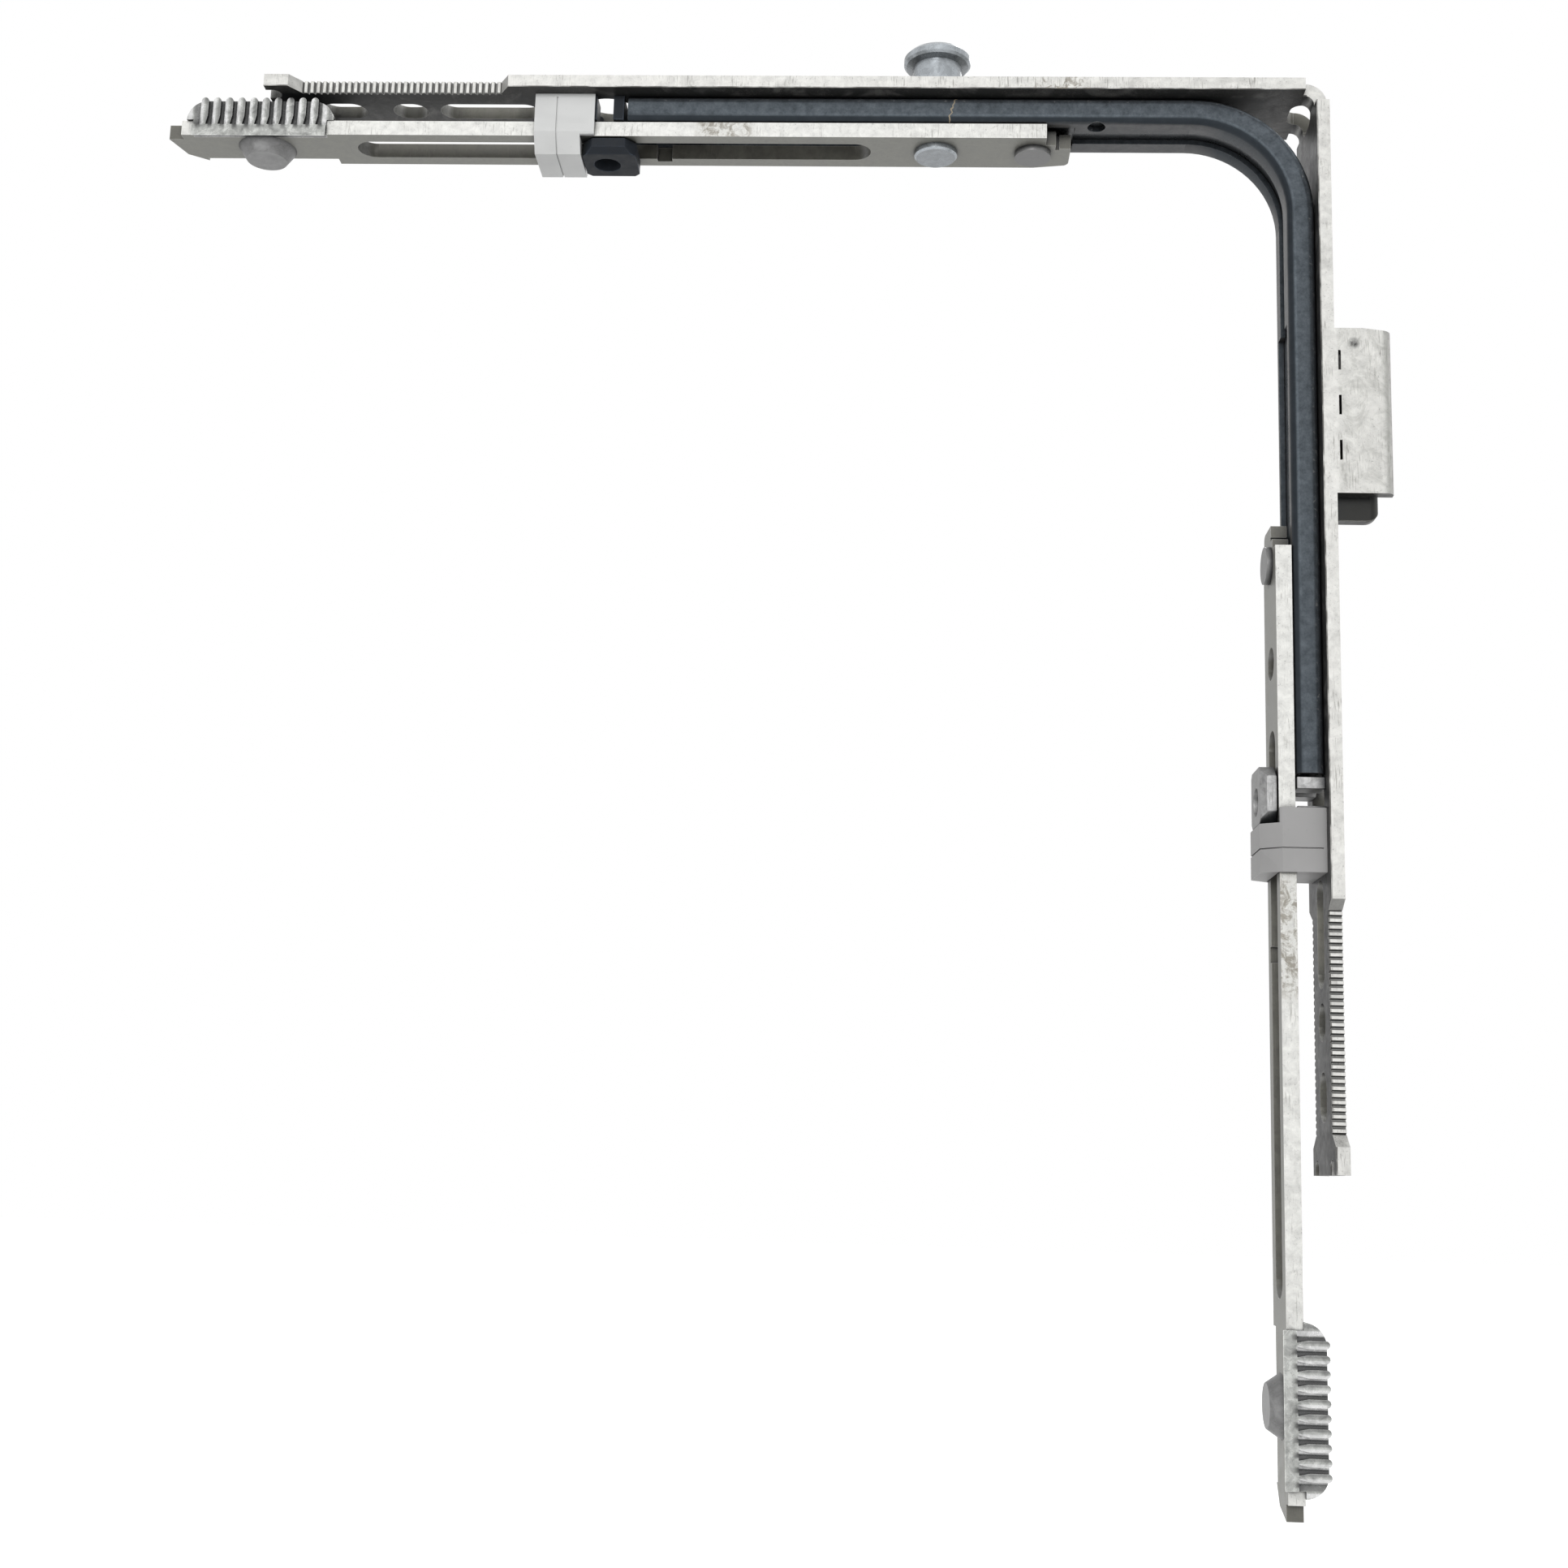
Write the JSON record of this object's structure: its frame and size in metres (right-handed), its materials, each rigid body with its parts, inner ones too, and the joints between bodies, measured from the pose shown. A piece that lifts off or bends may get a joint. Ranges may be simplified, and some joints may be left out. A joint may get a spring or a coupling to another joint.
{
  "type": "espagnolette corner drive",
  "caption": "L-shaped corner drive for a window sash: two slotted drive rods with ribbed couplings, linked by spring strips round the corner, and a mushroom cam.",
  "frame": {"origin": "axis of the top leg's fixing-screw hole, in the faceplate's outer face", "axes": "+Z is outward from the top leg's outer face and up along the side leg, +X is outward from the side leg's outer face, and +Y runs across the faceplate to its far edge"},
  "size_m": [0.1915, 0.016, 0.2219],
  "materials": {
    "faceplate_zinc": "zinc plated, mottled and scratched",
    "guide_dark": "dark passivated, worn bright along the folds",
    "rivet_steel": "satin zinc",
    "strip_steel": "smooth spring steel",
    "rod_zinc": "zinc plated, matte on the broad faces",
    "cam_zinc": "bluish zinc, turned",
    "block_zinc": "bright cast zinc",
    "block_rivet_zinc": "grey cast zinc",
    "boss_dark": "dark zinc with worn edges",
    "boss_bright": "galvanised",
    "clip_light": "smooth moulded",
    "clip_grey": "smooth moulded",
    "catch_dark": "dark plated"
  },
  "bodies": {
    "plate": {"faceplate": "faceplate_zinc", "corner_guide": "guide_dark", "guide_rivets": "rivet_steel", "outer_spring_strip": "strip_steel", "middle_spring_strip": "strip_steel", "inner_spring_strip": "strip_steel", "top_screw_boss": "boss_dark", "side_screw_boss": "boss_bright", "top_clip": "clip_light", "side_clip": "clip_grey", "flange_catch": "catch_dark", "catch_rivet": "rivet_steel"},
    "top_rod": {"top_drive_rod": "rod_zinc", "top_strip_rivet": "rivet_steel", "mushroom_cam": "cam_zinc", "top_coupling_block": "block_zinc", "top_block_rivet": "block_rivet_zinc"},
    "side_rod": {"side_drive_rod": "rod_zinc", "side_strip_rivet": "rivet_steel", "side_coupling_block": "block_zinc", "side_block_rivet": "block_rivet_zinc"}
  },
  "joints": [
    {"name": "top_rod_slide", "type": "slide", "parent": "plate", "child": "top_rod", "axis": [-1, 0, 0], "range_m": [-0.0023, 0.0337]},
    {"name": "side_rod_slide", "type": "slide", "parent": "plate", "child": "side_rod", "axis": [0, 0, 1], "range_m": [-0.0023, 0.0337], "deforming": ["outer_spring_strip", "middle_spring_strip", "inner_spring_strip"]}
  ],
  "couplings": [
    {"joint": "side_rod_slide", "follows": "top_rod_slide", "ratio": 1}
  ]
}
